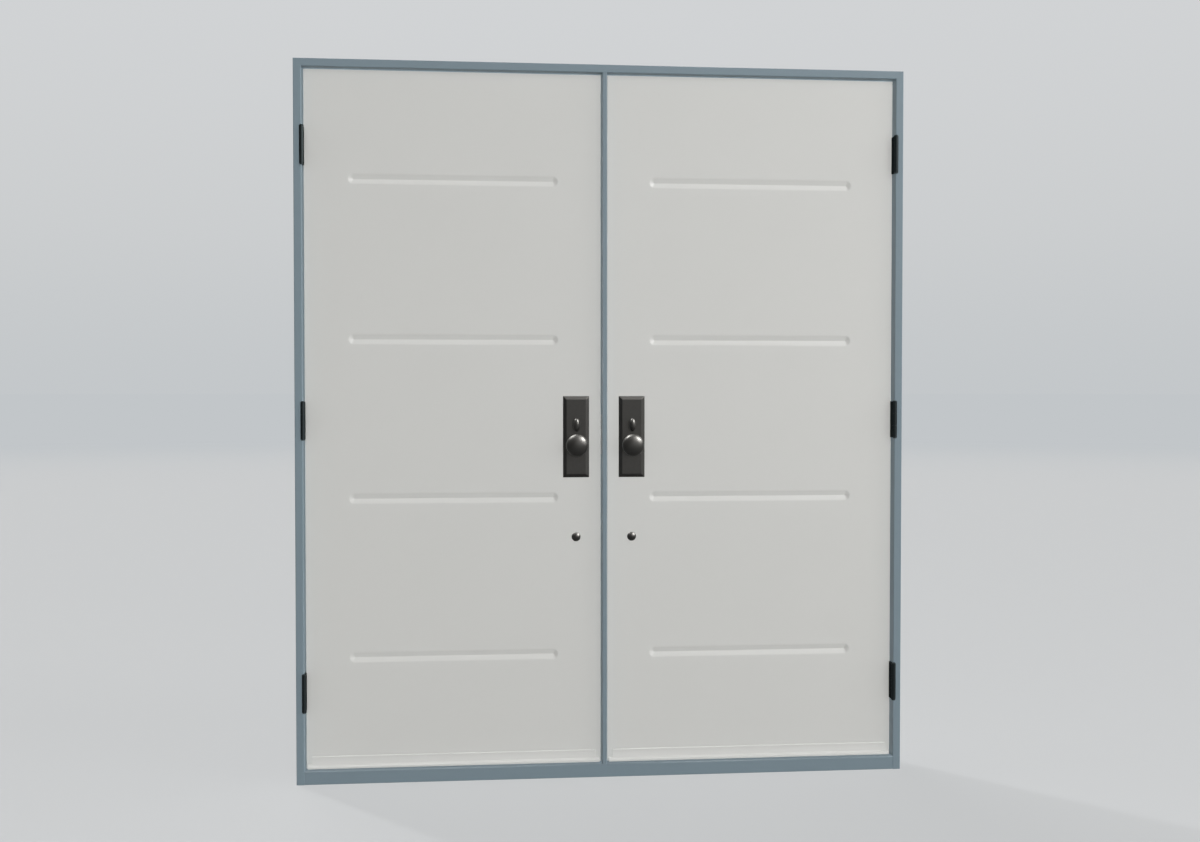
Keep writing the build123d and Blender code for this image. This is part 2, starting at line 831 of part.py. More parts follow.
def main():
    os.makedirs("parts", exist_ok=True)
    head, jamb = make_head(), make_jamb()
    sill = make_sill(jamb)
    save("head", head)
    save("sill", sill)
    save("mullion", make_mullion(head, sill))
    pins = [make_hinge_pin(z) for z in hinge_heights]
    save("hinge_pins", pins + other_side(pins))
    plates = make_anchor_plates()
    save("anchor_plates", plates + other_side(plates))

    pairs = {
        "jamb": jamb,
        "seal": make_seal(),
        "strike": make_strike(),
        "inner_skin": make_skin(leaf_y, leaf_mid_y - skin_seam / 2),
        "outer_skin": make_skin(leaf_back_y, leaf_mid_y + skin_seam / 2),
        "channels": make_channels(),
        "core": make_core(),
        "drip_rail": make_drip_rail(),
        "sweep": make_sweep(),
        "lock_case": make_lock_case(),
        "lock_front": make_lock_front(),
        "latch": make_latch(),
        "deadbolt": make_deadbolt(),
        "inner_plate": make_inner_plate(),
        "knob": make_knob(),
        "thumb_turn": make_thumb_turn(),
        "outer_plate": make_outer_plate(),
        "thumb_piece": make_thumb_piece(),
        "grip": make_grip(),
        "grip_bolt": make_grip_bolt(),
        "key_cylinder": make_key_cylinder(),
    }
    for place, z in zip(("bottom", "middle", "top"), hinge_heights):
        pairs[f"{place}_frame_hinge"] = make_frame_hinge(z)
        pairs[f"{place}_leaf_hinge"] = make_leaf_hinge(z)
    for name, piece in pairs.items():
        save(f"right_{name}", piece)
        save(f"left_{name}", other_side(piece))


main()
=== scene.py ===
import bmesh
import bpy
import math
from mathutils import Matrix, Vector


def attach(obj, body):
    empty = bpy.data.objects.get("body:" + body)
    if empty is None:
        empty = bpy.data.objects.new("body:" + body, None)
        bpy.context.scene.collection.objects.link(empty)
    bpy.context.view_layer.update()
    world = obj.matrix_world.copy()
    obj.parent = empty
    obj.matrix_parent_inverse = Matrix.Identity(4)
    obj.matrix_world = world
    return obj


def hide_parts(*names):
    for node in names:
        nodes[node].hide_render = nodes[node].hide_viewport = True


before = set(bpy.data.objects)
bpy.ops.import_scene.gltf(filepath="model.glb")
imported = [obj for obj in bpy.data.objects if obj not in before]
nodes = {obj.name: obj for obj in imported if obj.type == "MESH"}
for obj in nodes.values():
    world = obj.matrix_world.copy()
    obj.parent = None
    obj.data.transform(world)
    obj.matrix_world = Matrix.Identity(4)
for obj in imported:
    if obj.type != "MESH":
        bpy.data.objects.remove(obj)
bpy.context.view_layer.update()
mm = 0.001
weld = 0.002 * mm  # vertices nearer than this are merged
sides = {"right": 1, "left": -1}
scene = bpy.context.scene
scene.view_settings.view_transform = "Standard"
print("frame loaded:", len(nodes), "nodes")


def linear(hexColour, alpha=1.0):  # sRGB hex to the linear values that sockets take
    parts = [int(hexColour[i:i + 2], 16) / 255 for i in (1, 3, 5)]
    return tuple(c / 12.92 if c <= 0.04045 else ((c + 0.055) / 1.055) ** 2.4 for c in parts) + (alpha,)


def addNode(tree, kind, inputs=None, **settings):  # one node, its settings, its values and the links into it
    node = tree.nodes.new(kind)
    for name, value in settings.items():
        setattr(node, name, value)
    for socket, value in (inputs or {}).items():
        if isinstance(value, bpy.types.NodeSocket):
            tree.links.new(value, node.inputs[socket])
        else:
            node.inputs[socket].default_value = value
    return node


def newMaterial(name):
    material = bpy.data.materials.new(name)
    material.use_nodes = True
    material.node_tree.nodes.clear()
    return material, material.node_tree


# Camera: solved from the corners of the frame
viewpoint = {"place": (-0.4306, -4.3051, 1.2119), "yaw": 5.596, "pitch": -1.419, "lens": 41.48, "sensor": 36}
camera = bpy.data.objects.new("camera", bpy.data.cameras.new("camera"))
camera.data.lens = viewpoint["lens"]
camera.data.sensor_width = viewpoint["sensor"]
camera.location = viewpoint["place"]
camera.rotation_euler = (math.radians(90 + viewpoint["pitch"]), 0, -math.radians(viewpoint["yaw"]))
scene.collection.objects.link(camera)
scene.camera = camera

# Lamps: soft suns without shadows give the even light of a studio tent, strongest from the front and the
# upper right. Two more are seen only in gloss: the glint on the knobs and the line of light along their
# upper left. A near lamp at the right brightens the upper right of the doors, and backSun, the only one
# with a shadow, lays a faint one on the floor in front. A sun's power is given as a share of a white wall's
# brightness and is multiplied by pi below; its angle is in degrees.
lamps = {
    "key": {"kind": "SUN", "from": (0.67, -0.41, 0.62), "power": 0.58, "angle": 20, "rays": ("diffuse",)},
    "front": {"kind": "SUN", "from": (0.20, -0.98, 0.0), "power": 0.60, "angle": 60, "rays": ("diffuse",)},
    "side": {"kind": "SUN", "from": (0.92, -0.37, 0.11), "power": 0.30, "angle": 30, "rays": ("diffuse",)},
    "left": {"kind": "SUN", "from": (-0.80, -0.60, 0.0), "power": 0.17, "angle": 60, "rays": ("diffuse",)},
    "low": {"kind": "SUN", "from": (0.10, -0.50, -0.86), "power": 0.01, "angle": 60, "rays": ("diffuse",)},
    "top": {"kind": "SUN", "from": (-0.30, 0.70, 0.65), "power": 0.50, "angle": 30, "rays": ("diffuse",)},
    "glint": {"kind": "SUN", "from": (0.67, -0.41, 0.62), "power": 3.6, "angle": 20, "rays": ("glossy",)},
    "rim": {"kind": "SUN", "from": (-0.40, 0.20, 0.89), "power": 3.2, "angle": 20, "rays": ("glossy",)},
    "near": {"kind": "AREA", "from": (3.1, -3.2, 2.5), "power": 39, "size": 1.5,
             "aim": (0.3, 0, 1.5), "rays": ("diffuse",)},
    "backSun": {"kind": "SUN", "from": (-2.3, 2.9, 4.2), "power": 0.38, "angle": 2, "rays": ("diffuse",)},
}
for name, lamp in lamps.items():
    data = bpy.data.lights.new(name, lamp["kind"])
    data.use_shadow = name == "backSun"
    source = Vector(lamp["from"])
    aim = Vector(lamp.get("aim", (0, 0, 0)))
    if lamp["kind"] == "SUN":
        data.energy = lamp["power"] * math.pi
        data.angle = math.radians(lamp["angle"])
    else:
        data.energy = lamp["power"]
        data.shape = "SQUARE"
        data.size = lamp["size"]
    item = bpy.data.objects.new(name, data)
    item.location = source
    item.rotation_euler = (aim - source).to_track_quat("-Z", "Y").to_euler()
    item.visible_diffuse = "diffuse" in lamp["rays"]
    item.visible_glossy = "glossy" in lamp["rays"]
    scene.collection.objects.link(item)

# World: the camera sees a pale sweep all round. Only glossy rays see the room in front of the doors, which is
# brightest just right of the middle, dark towards both sides and dimmer overhead. As light it is weak and even.
# The room's steps are (place from left to right, level), and Z and Y below are parts of a ray's direction.
sky = {"horizon": "#c2c6c9", "middle": "#cccecf", "top": "#d2d4d6", "middleAt": 0.42, "topZ": 0.264, "light": 0.05,
       "room": ((0.0, 0.04), (0.41, 0.10), (0.57, 0.85), (0.70, 0.50), (0.86, 0.04)), "bright": 2.1,
       "overhead": 0.3, "behindY": 0.35}
world = bpy.data.worlds.new("studio")
world.use_nodes = True
tree = world.node_tree
tree.nodes.clear()
direction = addNode(tree, "ShaderNodeTexCoord").outputs["Generated"]
axes = addNode(tree, "ShaderNodeSeparateXYZ", {0: direction}).outputs
sweep = addNode(tree, "ShaderNodeValToRGB", {0: addNode(tree, "ShaderNodeMapRange", {
    "Value": axes["Z"], "From Min": 0.0, "From Max": sky["topZ"]}).outputs[0]})
sweep.color_ramp.interpolation = "B_SPLINE"
sweep.color_ramp.elements[0].color = linear(sky["horizon"])
sweep.color_ramp.elements[1].color = linear(sky["top"])
sweep.color_ramp.elements.new(sky["middleAt"]).color = linear(sky["middle"])
across = addNode(tree, "ShaderNodeMapRange", {"Value": axes["X"], "From Min": -1.0, "From Max": 1.0})
room = addNode(tree, "ShaderNodeValToRGB", {0: across.outputs[0]})
room.color_ramp.interpolation = "EASE"
steps = room.color_ramp.elements
while len(steps) < len(sky["room"]):
    steps.new(1.0)
for step, (place, level) in zip(steps, sky["room"]):
    step.position = place
    step.color = (level, level, level, 1)
lift = addNode(tree, "ShaderNodeMapRange", {
    "Value": axes["Z"], "From Min": 0.0, "From Max": 1.0, "To Min": sky["bright"], "To Max": sky["overhead"]})
front = addNode(tree, "ShaderNodeMapRange", {
    "Value": axes["Y"], "From Min": 0.0, "From Max": sky["behindY"], "To Min": 1.0, "To Max": 0.0})
behind = addNode(tree, "ShaderNodeBackground", {"Color": sweep.outputs[0], "Strength": 1.0})
ahead = addNode(tree, "ShaderNodeBackground", {"Color": room.outputs[0], "Strength": lift.outputs[0]})
rays = addNode(tree, "ShaderNodeLightPath").outputs
mirrored = addNode(tree, "ShaderNodeMath", {0: front.outputs[0], 1: rays["Is Glossy Ray"]}, operation="MULTIPLY")
seen = addNode(tree, "ShaderNodeMixShader", {0: mirrored.outputs[0], 1: behind.outputs[0], 2: ahead.outputs[0]})
lit = addNode(tree, "ShaderNodeBackground", {"Color": (1, 1, 1, 1), "Strength": sky["light"]})
shown = addNode(tree, "ShaderNodeMath", {0: rays["Is Camera Ray"], 1: rays["Is Glossy Ray"]}, operation="MAXIMUM")
mixed = addNode(tree, "ShaderNodeMixShader", {0: shown.outputs[0], 1: lit.outputs[0], 2: seen.outputs[0]})
addNode(tree, "ShaderNodeOutputWorld", {"Surface": mixed.outputs[0]})
scene.world = world

# Floor: matt painted board, fading to the horizon's grey far behind the doors. "plain" is the share of its
# own even tone that the camera sees. "swallowed" is the share of light that the floor keeps from diffuse
# and from glossy rays, so that it throws little back onto the doors. Distances are in metres.
floorLook = {"near": "#cdcfd0", "far": "#c2c6c9", "fadeFrom": 13.0, "fadeTo": 27.0, "shade": "#b8b9ba",
             "plain": 0.72, "swallowed": (0.65, 0.40), "reach": 240.0, "corners": 96}
material, tree = newMaterial("mattPaintedFloor")
place = addNode(tree, "ShaderNodeTexCoord").outputs["Object"]
distance = addNode(tree, "ShaderNodeVectorMath", {0: place}, operation="LENGTH").outputs["Value"]
fade = addNode(tree, "ShaderNodeMapRange", {
    "Value": distance, "From Min": floorLook["fadeFrom"], "From Max": floorLook["fadeTo"]},
    interpolation_type="SMOOTHSTEP")
tone = addNode(tree, "ShaderNodeMix", {
    "Factor": fade.outputs[0], 6: linear(floorLook["near"]), 7: linear(floorLook["far"])}, data_type="RGBA")
plain = addNode(tree, "ShaderNodeEmission", {"Color": tone.outputs[2]})
shaded = addNode(tree, "ShaderNodeBsdfDiffuse", {"Color": linear(floorLook["shade"])})
rays = addNode(tree, "ShaderNodeLightPath").outputs
dimming = addNode(tree, "ShaderNodeMath", {
    0: rays["Is Diffuse Ray"], 1: floorLook["swallowed"][0],
    2: addNode(tree, "ShaderNodeMath", {0: rays["Is Glossy Ray"], 1: floorLook["swallowed"][1]},
               operation="MULTIPLY").outputs[0]}, operation="MULTIPLY_ADD")
board = addNode(tree, "ShaderNodeMixShader", {0: dimming.outputs[0], 1: shaded.outputs[0]})
near = addNode(tree, "ShaderNodeMapRange", {
    "Value": fade.outputs[0], "To Min": floorLook["plain"], "To Max": 1.0}).outputs[0]
share = addNode(tree, "ShaderNodeMath", {0: rays["Is Camera Ray"], 1: near}, operation="MULTIPLY")
mixed = addNode(tree, "ShaderNodeMixShader", {0: share.outputs[0], 1: board.outputs[0], 2: plain.outputs[0]})
addNode(tree, "ShaderNodeOutputMaterial", {"Surface": mixed.outputs[0]})
bm = bmesh.new()
bmesh.ops.create_circle(bm, cap_ends=True, segments=floorLook["corners"], radius=floorLook["reach"])
floorMesh = bpy.data.meshes.new("floor")
bm.to_mesh(floorMesh)
bm.free()
floorMesh.materials.append(material)
floor = bpy.data.objects.new("floor", floorMesh)
scene.collection.objects.link(floor)
print("stage: camera, lamps, world and floor")


# Materials

def enamelledSteel(name, look):
    # Sprayed and baked enamel on steel sheet: smooth and satin, with a faint skin like orange peel and
    # the slightest cloudiness of colour. The peel is drawn coarser than the real 1 mm so that it shows.
    material, tree = newMaterial(name)
    place = addNode(tree, "ShaderNodeTexCoord").outputs["Object"]
    cloud = addNode(tree, "ShaderNodeTexNoise", {"Vector": place, "Scale": 1000 / look["cloud"], "Detail": 2.0})
    tone = addNode(tree, "ShaderNodeMix", {
        "Factor": cloud.outputs["Fac"], 6: linear(look["colour"]), 7: linear(look["colourLow"])}, data_type="RGBA")
    peel = addNode(tree, "ShaderNodeTexNoise", {"Vector": place, "Scale": 1000 / look["peel"], "Detail": 1.0})
    rough = addNode(tree, "ShaderNodeMapRange", {
        "Value": cloud.outputs["Fac"], "To Min": look["roughness"] - 0.04, "To Max": look["roughness"] + 0.04})
    bump = addNode(tree, "ShaderNodeBump", {
        "Height": peel.outputs["Fac"], "Strength": look["bump"], "Distance": 0.05 * mm})
    shader = addNode(tree, "ShaderNodeBsdfPrincipled", {
        "Base Color": tone.outputs[2], "Roughness": rough.outputs[0], "IOR": 1.5, "Specular IOR Level": look["gloss"],
        "Normal": bump.outputs[0]})
    addNode(tree, "ShaderNodeOutputMaterial", {"Surface": shader.outputs[0]})
    return material


frameEnamel = enamelledSteel("blueGreyEnamelledSteel", {
    "colour": "#728189", "colourLow": "#6f7e86", "cloud": 180, "peel": 3.0, "roughness": 0.42, "bump": 0.25,
    "gloss": 0.25})
leafEnamel = enamelledSteel("lightGreyEnamelledSteel", {
    "colour": "#c5c5c2", "colourLow": "#c3c3c0", "cloud": 260, "peel": 3.0, "roughness": 0.46, "bump": 0.2,
    "gloss": 0.10})


def bareMetal(name, look):
    # Metal with a fine drawn or brushed grain, finer across than along. The grain is drawn at the
    # given width in millimetres, coarser than the real 0.1 mm, and varies the gloss and the tone.
    material, tree = newMaterial(name)
    place = addNode(tree, "ShaderNodeTexCoord").outputs["Object"]
    stretched = addNode(tree, "ShaderNodeMapping", {
        "Vector": place, "Scale": [1000 / size for size in look["grain"]]})
    grain = addNode(tree, "ShaderNodeTexNoise", {
        "Vector": stretched.outputs[0], "Scale": 1.0, "Detail": 3.0, "Roughness": 0.6})
    tone = addNode(tree, "ShaderNodeMix", {
        "Factor": grain.outputs["Fac"], 6: linear(look["colour"]), 7: linear(look["colourLow"])}, data_type="RGBA")
    rough = addNode(tree, "ShaderNodeMapRange", {
        "Value": grain.outputs["Fac"], "From Min": 0.3, "From Max": 0.7,
        "To Min": look["roughness"] - look["spread"], "To Max": look["roughness"] + look["spread"]})
    bump = addNode(tree, "ShaderNodeBump", {
        "Height": grain.outputs["Fac"], "Strength": look["bump"], "Distance": 0.03 * mm})
    shader = addNode(tree, "ShaderNodeBsdfPrincipled", {
        "Base Color": tone.outputs[2], "Roughness": rough.outputs[0], "Metallic": 1.0,
        "Specular Tint": linear(look["edge"]), "Normal": bump.outputs[0]})
    addNode(tree, "ShaderNodeOutputMaterial", {"Surface": shader.outputs[0]})
    return material


# Oil-rubbed bronze: cast, turned brown-black in a bath, rubbed back and oiled, so dark with a soft gloss
oiledBronze = bareMetal("oilRubbedBronze", {
    "colour": "#474644", "colourLow": "#41403e", "grain": (9, 9, 9), "roughness": 0.43, "spread": 0.03,
    "bump": 0.05, "edge": "#ffffff"})
# Blackened steel: hinges from the oxide bath, nearly black, and dull at a slant because the skin is porous
blackSteel = bareMetal("blackOxideSteel", {
    "colour": "#2e3334", "colourLow": "#252a2b", "grain": (2, 2, 6), "roughness": 0.50, "spread": 0.04,
    "bump": 0.15, "edge": "#404040"})
# Brushed stainless steel: bolts, strikes and lock fronts, with their grain along the length
brushedSteel = bareMetal("brushedStainlessSteel", {
    "colour": "#b4b3b0", "colourLow": "#9c9b98", "grain": (0.6, 0.6, 14), "roughness": 0.32, "spread": 0.08,
    "bump": 0.3, "edge": "#ffffff"})
# Galvanised steel: the zinc's spangle in patches of a few millimetres
zincSteel = bareMetal("galvanisedSteel", {
    "colour": "#a4a7a8", "colourLow": "#83878a", "grain": (7, 7, 7), "roughness": 0.45, "spread": 0.12,
    "bump": 0.1, "edge": "#ffffff"})


def plainMould(name, look):
    # Rubber or foam: matt, with a fine grain
    material, tree = newMaterial(name)
    place = addNode(tree, "ShaderNodeTexCoord").outputs["Object"]
    grain = addNode(tree, "ShaderNodeTexVoronoi" if look["cells"] else "ShaderNodeTexNoise",
                    {"Vector": place, "Scale": 1000 / look["grain"]})
    value = grain.outputs["Distance" if look["cells"] else "Fac"]
    tone = addNode(tree, "ShaderNodeMix", {
        "Factor": value, 6: linear(look["colour"]), 7: linear(look["colourLow"])}, data_type="RGBA")
    bump = addNode(tree, "ShaderNodeBump", {"Height": value, "Strength": look["bump"], "Distance": 0.1 * mm})
    shader = addNode(tree, "ShaderNodeBsdfPrincipled", {
        "Base Color": tone.outputs[2], "Roughness": look["roughness"], "IOR": 1.5, "Normal": bump.outputs[0]})
    addNode(tree, "ShaderNodeOutputMaterial", {"Surface": shader.outputs[0]})
    return material


sealRubber = plainMould("extrudedRubber", {
    "colour": "#242526", "colourLow": "#1b1c1d", "grain": 0.8, "cells": False, "bump": 0.2, "roughness": 0.75})
coreFoam = plainMould("beadFoam", {  # polystyrene beads about 4 mm across
    "colour": "#e3dcc4", "colourLow": "#cfc6a8", "grain": 4.0, "cells": True, "bump": 0.6, "roughness": 0.85})
print("materials ready")


# Making pieces

def addPiece(bm, name, body, material, stands=(), crease=32):
    mesh = bpy.data.meshes.new(name)
    bm.to_mesh(mesh)
    bm.free()
    mesh.materials.append(material)
    mesh.shade_smooth()
    mesh.set_sharp_from_angle(angle=math.radians(crease))
    piece = bpy.data.objects.new(name, mesh)
    scene.collection.objects.link(piece)
    weigh = piece.modifiers.new("weighFaces", "WEIGHTED_NORMAL")  # keeps the large flat faces flat
    weigh.keep_sharp = True
    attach(piece, body)
    if stands:
        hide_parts(*stands)
    return piece


def cadCopy(name):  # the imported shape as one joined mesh
    bm = bmesh.new()
    bm.from_mesh(nodes[name].data)
    bmesh.ops.remove_doubles(bm, verts=bm.verts, dist=weld)
    bmesh.ops.recalc_face_normals(bm, faces=bm.faces)
    return bm


def roundEdges(bm, width, segments=2, above=25):  # a small round on every sharp outer edge
    bmesh.ops.dissolve_limit(bm, angle_limit=math.radians(0.5), verts=bm.verts, edges=bm.edges, delimit={"SHARP"})
    sharp = [e for e in bm.edges if len(e.link_faces) == 2 and e.is_convex
             and math.degrees(e.calc_face_angle(0)) > above]
    bmesh.ops.bevel(bm, geom=sharp, offset=width, offset_type="OFFSET", segments=segments, profile=0.5,
                    affect="EDGES", clamp_overlap=True, material=-1)
    return bm


def turnToSide(bm, sign):  # drawn for the right-hand leaf, mirrored for the left
    if sign < 0:
        bmesh.ops.scale(bm, vec=(-1, 1, 1), verts=bm.verts)
        bmesh.ops.reverse_faces(bm, faces=bm.faces)
    return bm


def addRod(bm, radius, near, far, x, z, segments=64, rim=0.0):  # a bar along Y, its near rim rounded if asked
    made = bmesh.ops.create_cone(bm, cap_ends=True, segments=segments, radius1=radius, radius2=radius,
                                 depth=far - near)["verts"]
    bmesh.ops.rotate(bm, verts=made, cent=(0, 0, 0), matrix=Matrix.Rotation(math.radians(90), 3, "X"))
    bmesh.ops.translate(bm, verts=made, vec=(x, (near + far) / 2, z))
    if rim:
        front = [e for e in {e for v in made for e in v.link_edges}
                 if all(abs(v.co.y - near) < 1e-6 for v in e.verts)]
        bmesh.ops.bevel(bm, geom=front, offset=rim, offset_type="OFFSET", segments=8, profile=0.5,
                        affect="EDGES", material=-1)


# Places shared by the pieces, in metres
leafFace = -33 * mm
leafBack = 12 * mm
trimX = 86.75 * mm
plateFace = leafFace - 8.5 * mm

# Frame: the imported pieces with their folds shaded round
for name in ("head", "sill", "mullion", "right_jamb", "left_jamb"):
    addPiece(cadCopy(name), name + "Skin", "frame", frameEnamel, [name])
print("frame dressed")

# Skins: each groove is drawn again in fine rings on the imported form, so that its flanks shade evenly. The lips
# are softened by about a tenth of a millimetre, the upper one by topLip and the lower one by footPower.
groove = {"length": 640 * mm, "width": 32 * mm, "depth": 7 * mm, "rings": 9, "centreX": 462.25 * mm,
          "heights": [(382.0 + 487.3 * i) * mm for i in range(4)], "footPower": 1.05, "topLip": 0.02,
          "near": 0.1 * mm}


def pressGrooves(bm, faceY, out, sign):
    half = groove["width"] / 2
    run = groove["length"] / 2 - half
    centreX = sign * groove["centreX"]
    for height in groove["heights"]:
        sunk = set()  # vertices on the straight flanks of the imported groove
        for v in bm.verts:
            x = max(centreX - run, min(centreX + run, v.co.x))
            away = math.hypot(v.co.x - x, v.co.z - height)
            expected = groove["depth"] * (1 - away / half)
            if away < half + groove["near"] and abs((faceY - v.co.y) * out - expected) < groove["near"]:
                sunk.add(v)
        flanks = [face for face in bm.faces if all(v in sunk for v in face.verts)]
        mouth = {e for f in flanks for e in f.edges if sum(g in flanks for g in e.link_faces) == 1}
        bmesh.ops.delete(bm, geom=flanks, context="FACES")
        edges = [e for e in mouth if e.is_valid]
        for ring in range(1, groove["rings"] + 1):
            made = bmesh.ops.extrude_edge_only(bm, edges=edges)["geom"]
            edges = [g for g in made if isinstance(g, bmesh.types.BMEdge)]
            inward = ring / groove["rings"]
            for v in (g for g in made if isinstance(g, bmesh.types.BMVert)):
                axis = Vector((max(centreX - run, min(centreX + run, v.co.x)), 0, height))
                ray = Vector((v.co.x - axis.x, 0, v.co.z - height))
                ray.normalize()
                low = min(1.0, max(0.0, 0.5 - ray.z))
                lip = groove["topLip"]
                straight = max(0.0, (inward - lip) / (1 - lip))
                sink = (1 - low) * straight + low * inward ** groove["footPower"]
                reach = half * (1 - inward)
                v.co = axis + ray * reach
                v.co.y = faceY - out * sink * groove["depth"]
                if reach < 1e-6:  # the last ring closes on the groove's middle line
                    v.co = Vector((axis.x, v.co.y, height))
    bmesh.ops.remove_doubles(bm, verts=bm.verts, dist=weld)
    bmesh.ops.recalc_face_normals(bm, faces=bm.faces)
    return bm


railRound = 0.6 * mm
for sideName, sign in sides.items():
    for layer, faceY, out in (("inner", leafFace, -1), ("outer", leafBack, 1)):
        name = f"{sideName}_{layer}_skin"
        addPiece(pressGrooves(cadCopy(name), faceY, out, sign), name + "Pressed", f"{sideName}_leaf",
                 leafEnamel, [name])
    rail = f"{sideName}_drip_rail"
    addPiece(roundEdges(cadCopy(rail), railRound), rail + "Rounded", f"{sideName}_leaf", leafEnamel,
             [rail])
print("leaves pressed")

# Inner plates: cast, with a wide bevel all round and crisp but softened corners
plate = {"width": 81 * mm, "length": 252 * mm, "lip": 2.5 * mm, "rise": 6 * mm, "bevel": 10.5 * mm,
         "middle": 1057 * mm, "edge": 0.7 * mm}
for sideName, sign in sides.items():
    bm = bmesh.new()
    bmesh.ops.create_cube(bm, size=1)
    bmesh.ops.scale(bm, vec=(plate["width"], plate["lip"], plate["length"]), verts=bm.verts)
    bmesh.ops.translate(bm, vec=(trimX, leafFace - plate["lip"] / 2, plate["middle"]), verts=bm.verts)
    bm.normal_update()
    front = [f for f in bm.faces if f.normal.y < -0.9]
    bmesh.ops.inset_region(bm, faces=front, thickness=plate["bevel"], use_even_offset=True)
    bmesh.ops.translate(bm, vec=(0, -plate["rise"], 0), verts=front[0].verts)
    bm.normal_update()
    roundEdges(bm, plate["edge"], segments=3, above=15)
    addPiece(turnToSide(bm, sign), f"{sideName}InnerPlate", f"{sideName}_leaf", oiledBronze,
             [f"{sideName}_inner_plate"])

# Knobs: a turned, slightly flattened ball on a neck and a low rose
knob = {"radius": 34 * mm, "bulge": 17.5 * mm, "reach": 62 * mm, "neck": 11.5 * mm, "rose": 19 * mm,
        "roseHeight": 5 * mm, "roseRim": 4.4 * mm, "height": 1032 * mm, "shank": 9.95 * mm, "shankDepth": 17 * mm,
        "spindle": 8 * mm, "spindleLength": 28 * mm, "gap": 0.3 * mm}
for sideName, sign in sides.items():
    bm = bmesh.new()
    back = plateFace - knob["gap"]
    middle = leafFace - knob["reach"] + knob["bulge"]
    ball = bmesh.ops.create_uvsphere(bm, u_segments=96, v_segments=48, radius=1)["verts"]
    bmesh.ops.rotate(bm, verts=ball, cent=(0, 0, 0), matrix=Matrix.Rotation(math.radians(90), 3, "X"))
    bmesh.ops.scale(bm, verts=ball, vec=(knob["radius"], knob["bulge"], knob["radius"]))
    bmesh.ops.translate(bm, verts=ball, vec=(trimX, middle, knob["height"]))
    addRod(bm, knob["neck"], middle, back, trimX, knob["height"])
    addRod(bm, knob["rose"], back - knob["roseHeight"], back, trimX, knob["height"], rim=knob["roseRim"])
    addRod(bm, knob["shank"], back, leafFace + knob["shankDepth"], trimX, knob["height"])
    spindle = bmesh.ops.create_cube(bm, size=1)["verts"]
    bmesh.ops.scale(bm, verts=spindle, vec=(knob["spindle"], knob["spindleLength"], knob["spindle"]))
    bmesh.ops.translate(bm, verts=spindle, vec=(trimX, leafBack - knob["spindleLength"] / 2, knob["height"]))
    addPiece(turnToSide(bm, sign), f"{sideName}Knob", f"{sideName}_knob", oiledBronze,
             [f"{sideName}_knob"], crease=40)

# Thumb turns: an egg on a short neck
turn = {"width": 21.5 * mm, "length": 41 * mm, "lift": 6 * mm, "neck": 5 * mm, "collar": 9 * mm,
        "collarHeight": 2.5 * mm, "collarRim": 1.2 * mm, "height": 1094 * mm, "shaft": 4.95 * mm,
        "shaftDepth": 22.5 * mm}
for sideName, sign in sides.items():
    bm = bmesh.new()
    back = plateFace - knob["gap"]
    middle = back - turn["lift"] - turn["width"] / 2
    egg = bmesh.ops.create_uvsphere(bm, u_segments=64, v_segments=40, radius=0.5)["verts"]
    bmesh.ops.scale(bm, verts=egg, vec=(turn["width"], turn["width"], turn["length"]))
    bmesh.ops.translate(bm, verts=egg, vec=(trimX, middle, turn["height"]))
    addRod(bm, turn["neck"], middle, back, trimX, turn["height"], segments=48)
    addRod(bm, turn["collar"], back - turn["collarHeight"], back, trimX, turn["height"], rim=turn["collarRim"])
    addRod(bm, turn["shaft"], back, leafFace + turn["shaftDepth"], trimX, turn["height"], segments=48)
    addPiece(turnToSide(bm, sign), f"{sideName}ThumbTurn", f"{sideName}_thumb_turn", oiledBronze,
             [f"{sideName}_thumb_turn"], crease=40)

# Bolt of the grip's foot, with its domed cap on the room side: part of a sphere on a low straight rim
capBolt = {"radius": 13.9 * mm, "rim": 2.0 * mm, "height": 8.5 * mm, "place": 746 * mm, "shank": 4 * mm,
           "depth": 66 * mm}
for sideName, sign in sides.items():
    bm = bmesh.new()
    rise = capBolt["height"] - capBolt["rim"]
    domeRadius = (capBolt["radius"] ** 2 + rise ** 2) / (2 * rise)
    dome = bmesh.ops.create_uvsphere(bm, u_segments=64, v_segments=64, radius=domeRadius)["verts"]
    bmesh.ops.rotate(bm, verts=dome, cent=(0, 0, 0), matrix=Matrix.Rotation(math.radians(90), 3, "X"))
    bmesh.ops.translate(bm, verts=dome, vec=(trimX, leafFace - capBolt["height"] + domeRadius, capBolt["place"]))
    cutY = leafFace - capBolt["rim"]
    bmesh.ops.bisect_plane(bm, geom=bm.verts[:] + bm.edges[:] + bm.faces[:], plane_co=(0, cutY, 0),
                           plane_no=(0, 1, 0), clear_outer=True)
    rim = [e for e in bm.edges if e.is_boundary]
    made = bmesh.ops.extrude_edge_only(bm, edges=rim)["geom"]
    foot = [g for g in made if isinstance(g, bmesh.types.BMVert)]
    bmesh.ops.translate(bm, vec=(0, capBolt["rim"], 0), verts=foot)
    bmesh.ops.holes_fill(bm, edges=[e for e in bm.edges if e.is_boundary], sides=0)
    addRod(bm, capBolt["shank"], leafFace, leafFace + capBolt["depth"], trimX, capBolt["place"], segments=32)
    bmesh.ops.recalc_face_normals(bm, faces=bm.faces)
    addPiece(turnToSide(bm, sign), f"{sideName}GripBolt", f"{sideName}_leaf", oiledBronze,
             [f"{sideName}_grip_bolt"])

